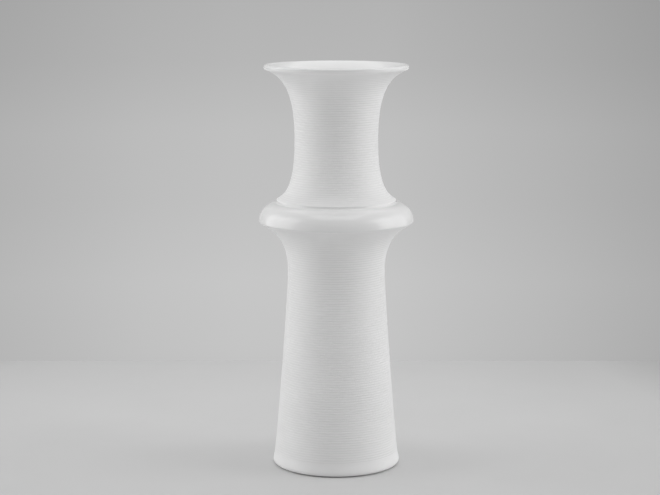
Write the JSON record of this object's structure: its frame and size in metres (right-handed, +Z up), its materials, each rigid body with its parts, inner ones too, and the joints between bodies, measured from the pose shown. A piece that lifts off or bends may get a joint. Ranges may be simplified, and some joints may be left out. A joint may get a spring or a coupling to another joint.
{
  "type": "trumpet vase",
  "caption": "Tall round porcelain vase for cut flowers: ribbed tapering column, glossy rounded collar and ribbed trumpet neck opening to a flared glazed lip.",
  "frame": {"origin": "middle of the foot, on the surface that the foot ring stands on", "axes": "+Z up along the axis that the vase is turned about; +X and +Y across it, with no preferred front"},
  "size_m": [0.1154, 0.1154, 0.3006],
  "materials": {
    "bisque": "matt unglazed white porcelain with fine turned ribs",
    "glaze": "glossy clear glaze on white porcelain",
    "slip": "matt fired joining slip"
  },
  "bodies": {
    "root": {"lower_body": "bisque", "body_lute": "slip", "collar": "bisque", "collar_glaze": "glaze", "neck_lute": "slip", "trumpet_neck": "bisque", "lining_glaze": "glaze"}
  },
  "joints": []
}
